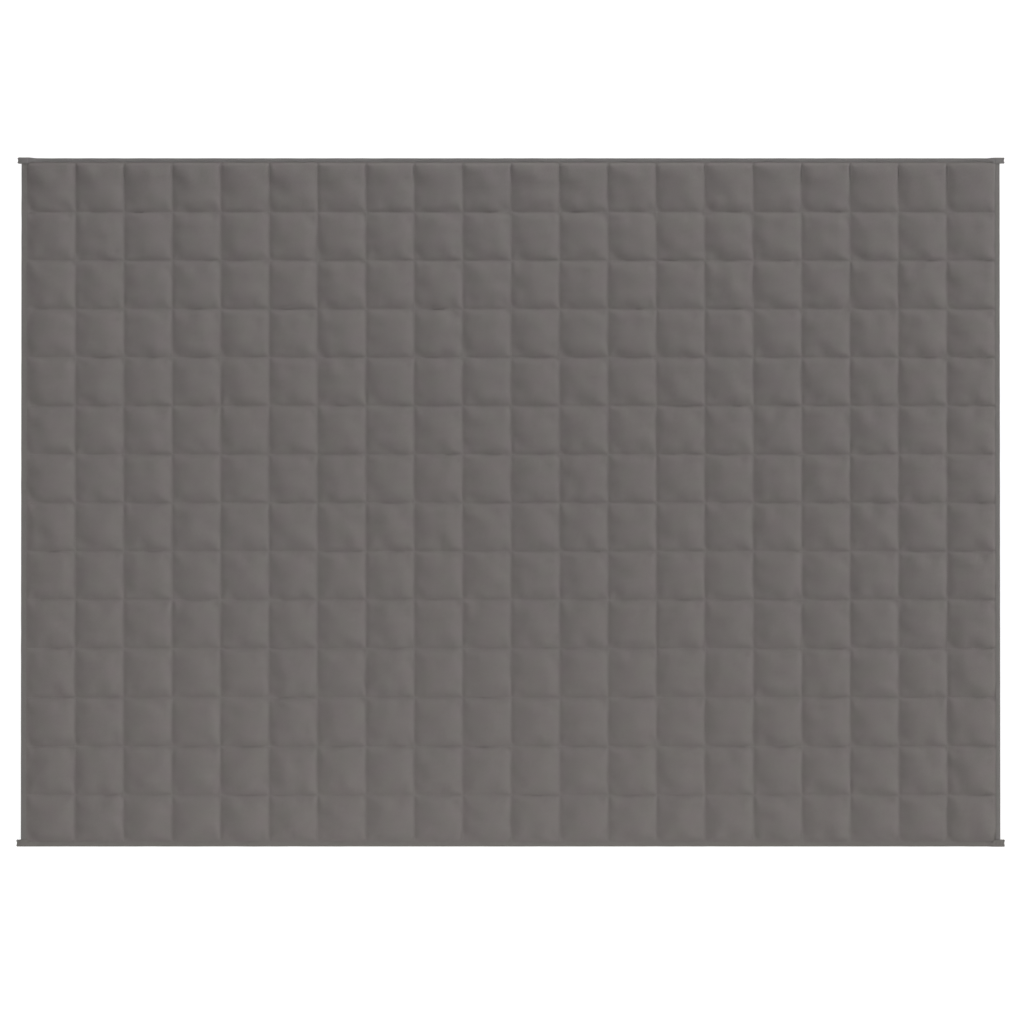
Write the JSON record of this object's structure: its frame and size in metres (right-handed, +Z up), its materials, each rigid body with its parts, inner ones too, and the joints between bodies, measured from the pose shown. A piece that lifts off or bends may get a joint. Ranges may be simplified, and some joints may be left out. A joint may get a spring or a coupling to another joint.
{
  "type": "weighted blanket",
  "caption": "Flat rectangular weighted blanket of square sewn bead pockets, bound on all four edges with folded tape.",
  "frame": {"origin": "middle of the blanket, on the surface that it lies on", "axes": "+X along the long side, +Y across it towards the head edge, +Z up"},
  "size_m": [2.0174, 1.408, 0.0127],
  "materials": {
    "quilt_cloth": "matt brushed woven cloth, warm mid grey",
    "binding_tape": "matt close-woven tape, neutral mid grey"
  },
  "bodies": {
    "root": {"quilted_body": "quilt_cloth", "side_tape_left": "binding_tape", "side_tape_right": "binding_tape", "end_tape_head": "binding_tape", "end_tape_foot": "binding_tape"}
  },
  "joints": []
}
